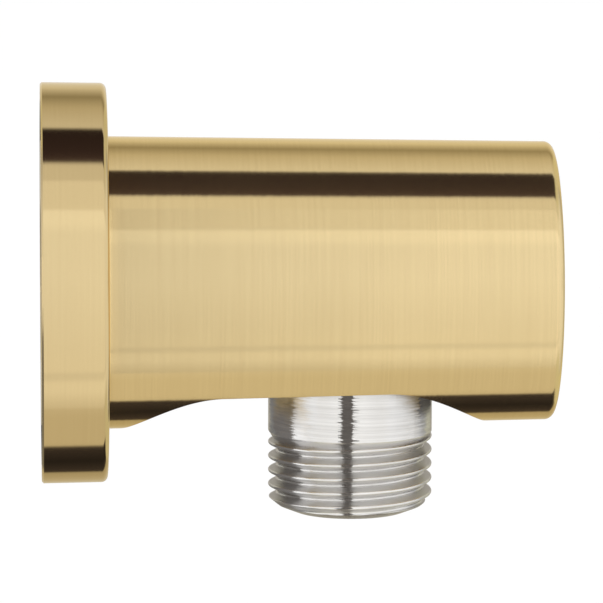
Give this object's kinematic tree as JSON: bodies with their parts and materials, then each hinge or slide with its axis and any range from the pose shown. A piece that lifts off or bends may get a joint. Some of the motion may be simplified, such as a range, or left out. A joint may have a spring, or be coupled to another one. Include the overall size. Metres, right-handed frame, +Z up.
{
  "type": "wall outlet elbow",
  "caption": "Round wall elbow that feeds a shower hose: tapered gold arm on a wall flange, recessed underside, threaded silver nipple pointing down and a sprung check valve inside.",
  "frame": {"origin": "centre of the wall face, on the inlet axis", "axes": "+X leads away from the wall along the arm, +Z is up, the hose outlet points along -Z"},
  "size_m": [0.0652, 0.051, 0.0549],
  "materials": {
    "brushed_gold": "brushed, coated gold",
    "turned_silver": "bright turned metal",
    "seal_rubber": "matt black rubber",
    "gasket_foam": "matt closed-cell foam",
    "valve_plastic": "moulded acetal",
    "poppet_plastic": "moulded acetal",
    "spring_steel": "drawn wire"
  },
  "bodies": {
    "fitting": {"elbow_body": "brushed_gold", "outlet_nipple": "turned_silver", "nipple_washer": "seal_rubber", "check_valve_housing": "valve_plastic", "check_valve_o_ring": "seal_rubber", "check_valve_guide": "valve_plastic", "check_valve_spring": "spring_steel"},
    "flange": {"wall_flange": "brushed_gold", "flange_grip_ring": "seal_rubber", "wall_gasket": "gasket_foam"},
    "stopper": {"check_valve_poppet": "poppet_plastic", "check_valve_seal": "seal_rubber"}
  },
  "joints": [
    {"name": "flange_slide", "type": "slide", "parent": "fitting", "child": "flange", "axis": [1, 0, 0], "range_m": [0, 0.02]},
    {"name": "poppet_lift", "type": "slide", "parent": "fitting", "child": "stopper", "axis": [0, 0, -1], "range_m": [0, 0.0025], "stiffness_N_per_m": 150, "springref_m": -0.003, "deforming": ["check_valve_spring"]}
  ]
}
